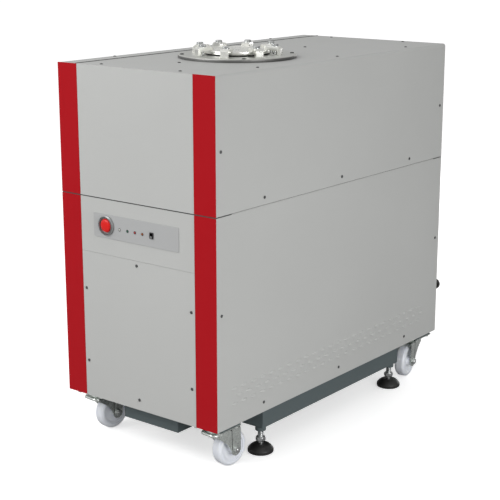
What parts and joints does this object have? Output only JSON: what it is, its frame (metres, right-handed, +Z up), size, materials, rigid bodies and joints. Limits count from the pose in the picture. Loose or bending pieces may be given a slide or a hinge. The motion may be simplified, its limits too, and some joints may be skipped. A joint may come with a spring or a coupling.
{
  "type": "dry screw vacuum pump",
  "caption": "Cabinet-mounted dry screw vacuum pump with roots booster, blanked roof inlet flange, control panel, swivel casters and levelling feet.",
  "frame": {"origin": "on the floor below the middle of the machine's bounding box", "axes": "+Z up, -Y towards the control panel, +X to the right when facing the control panel; +Y is the longest extent"},
  "size_m": [0.548, 1.151, 1.0883],
  "materials": {
    "frame_paint": "dark blue-grey powder coat",
    "panel_grey": "light grey fine textured powder coat",
    "strip_red": "deep red powder coat",
    "zinc_steel": "zinc plated sheet",
    "nylon": "white translucent nylon",
    "plated_steel": "bright plated",
    "pad_black": "black moulded",
    "label_grey": "grey film plate",
    "lamp_lens": "coloured lenses",
    "window_black": "black",
    "collar_metal": "satin",
    "estop_red": "red",
    "flange_steel": "turned stainless steel",
    "seal_rubber": "black",
    "rotor_steel": "machined",
    "cast_casing": "painted casting",
    "motor_paint": "grey paint",
    "fitting_metal": "dark plated",
    "gland_plastic": "black"
  },
  "bodies": {
    "cabinet": {"base_frame": "frame_paint", "side_panel_right": "panel_grey", "side_panel_left": "panel_grey", "hood_right": "panel_grey", "hood_left": "panel_grey", "front_panel_lower": "panel_grey", "control_fascia": "panel_grey", "front_panel_upper": "panel_grey", "rear_panels": "panel_grey", "corner_strips": "strip_red", "caster_plates": "zinc_steel", "undercarriage_fasteners": "zinc_steel", "cabinet_frame": "zinc_steel", "floor_tray": "zinc_steel", "control_box": "zinc_steel", "claw_bolts": "plated_steel", "label_plate": "label_grey", "indicator_lamps": "lamp_lens", "service_window": "window_black", "estop_collar": "collar_metal", "inlet_plate": "flange_steel", "inlet_pipe": "flange_steel", "blank_flange": "flange_steel", "claw_clamps": "flange_steel", "exhaust_pipe": "flange_steel", "interstage_duct": "flange_steel", "inlet_seal": "seal_rubber", "shaft_bearings": "rotor_steel", "booster_casing": "cast_casing", "booster_end_covers": "cast_casing", "screw_casing": "cast_casing", "screw_end_covers": "cast_casing", "booster_motor": "motor_paint", "screw_motor": "motor_paint", "water_and_gas_fittings": "fitting_metal", "cable_glands": "gland_plastic"},
    "caster_swivel_front_left": {"caster_fork_front_left": "zinc_steel"},
    "wheel_front_left": {"caster_wheel_front_left": "nylon"},
    "foot_front_left": {"foot_stem_front_left": "plated_steel", "foot_pad_front_left": "pad_black"},
    "caster_swivel_front_right": {"caster_fork_front_right": "zinc_steel"},
    "wheel_front_right": {"caster_wheel_front_right": "nylon"},
    "foot_front_right": {"foot_stem_front_right": "plated_steel", "foot_pad_front_right": "pad_black"},
    "caster_swivel_rear_left": {"caster_fork_rear_left": "zinc_steel"},
    "wheel_rear_left": {"caster_wheel_rear_left": "nylon"},
    "foot_rear_left": {"foot_stem_rear_left": "plated_steel", "foot_pad_rear_left": "pad_black"},
    "caster_swivel_rear_right": {"caster_fork_rear_right": "zinc_steel"},
    "wheel_rear_right": {"caster_wheel_rear_right": "nylon"},
    "foot_rear_right": {"foot_stem_rear_right": "plated_steel", "foot_pad_rear_right": "pad_black"},
    "emergency_stop": {"estop_button": "estop_red"},
    "booster_drive_rotor": {"booster_rotor_drive": "rotor_steel"},
    "booster_idle_rotor": {"booster_rotor_idle": "rotor_steel"},
    "screw_drive_rotor": {"screw_rotor_drive": "rotor_steel", "screw_gear_drive": "rotor_steel"},
    "screw_idle_rotor": {"screw_rotor_idle": "rotor_steel", "screw_gear_idle": "rotor_steel"}
  },
  "joints": [
    {"name": "caster_swivel_front_left", "type": "hinge", "parent": "cabinet", "child": "caster_swivel_front_left", "pos_m": [-0.216, -0.5035, 0.11], "axis": [0, 0, 1], "continuous": true},
    {"name": "wheel_spin_front_left", "type": "hinge", "parent": "caster_swivel_front_left", "child": "wheel_front_left", "pos_m": [-0.2113, -0.45875, 0.05], "axis": [0.9945, -0.1045, 0], "continuous": true},
    {"name": "foot_height_front_left", "type": "slide", "parent": "cabinet", "child": "foot_front_left", "axis": [0, 0, 1], "range_m": [-0.02, 0.015]},
    {"name": "caster_swivel_front_right", "type": "hinge", "parent": "cabinet", "child": "caster_swivel_front_right", "pos_m": [0.216, -0.5035, 0.11], "axis": [0, 0, 1], "continuous": true},
    {"name": "wheel_spin_front_right", "type": "hinge", "parent": "caster_swivel_front_right", "child": "wheel_front_right", "pos_m": [0.22226, -0.45894, 0.05], "axis": [0.9903, -0.1392, 0], "continuous": true},
    {"name": "foot_height_front_right", "type": "slide", "parent": "cabinet", "child": "foot_front_right", "axis": [0, 0, 1], "range_m": [-0.02, 0.015]},
    {"name": "caster_swivel_rear_left", "type": "hinge", "parent": "cabinet", "child": "caster_swivel_rear_left", "pos_m": [-0.216, 0.4785, 0.11], "axis": [0, 0, 1], "continuous": true},
    {"name": "wheel_spin_rear_left", "type": "hinge", "parent": "caster_swivel_rear_left", "child": "wheel_rear_left", "pos_m": [-0.20061, 0.43621, 0.05], "axis": [-0.9397, -0.342, 0], "continuous": true},
    {"name": "foot_height_rear_left", "type": "slide", "parent": "cabinet", "child": "foot_rear_left", "axis": [0, 0, 1], "range_m": [-0.02, 0.015]},
    {"name": "caster_swivel_rear_right", "type": "hinge", "parent": "cabinet", "child": "caster_swivel_rear_right", "pos_m": [0.216, 0.4785, 0.11], "axis": [0, 0, 1], "continuous": true},
    {"name": "wheel_spin_rear_right", "type": "hinge", "parent": "caster_swivel_rear_right", "child": "wheel_rear_right", "pos_m": [0.22381, 0.43418, 0.05], "axis": [-0.9848, -0.1736, 0], "continuous": true},
    {"name": "foot_height_rear_right", "type": "slide", "parent": "cabinet", "child": "foot_rear_right", "axis": [0, 0, 1], "range_m": [-0.02, 0.015]},
    {"name": "emergency_stop_press", "type": "slide", "parent": "cabinet", "child": "emergency_stop", "axis": [0, 1, 0], "range_m": [0, 0.005], "stiffness_N_per_m": 2000, "springref_m": -0.004},
    {"name": "booster_drive_spin", "type": "hinge", "parent": "cabinet", "child": "booster_drive_rotor", "pos_m": [0.085, -0.1725, 0.862], "axis": [0, 1, 0], "continuous": true},
    {"name": "booster_idle_spin", "type": "hinge", "parent": "cabinet", "child": "booster_idle_rotor", "pos_m": [-0.035, -0.1725, 0.862], "axis": [0, 1, 0], "continuous": true},
    {"name": "screw_drive_spin", "type": "hinge", "parent": "cabinet", "child": "screw_drive_rotor", "pos_m": [0.08, -0.1725, 0.3], "axis": [0, 1, 0], "continuous": true},
    {"name": "screw_idle_spin", "type": "hinge", "parent": "cabinet", "child": "screw_idle_rotor", "pos_m": [-0.03, -0.1725, 0.3], "axis": [0, 1, 0], "continuous": true}
  ],
  "couplings": [
    {"joint": "booster_idle_spin", "follows": "booster_drive_spin", "ratio": -1},
    {"joint": "screw_idle_spin", "follows": "screw_drive_spin", "ratio": -1}
  ]
}
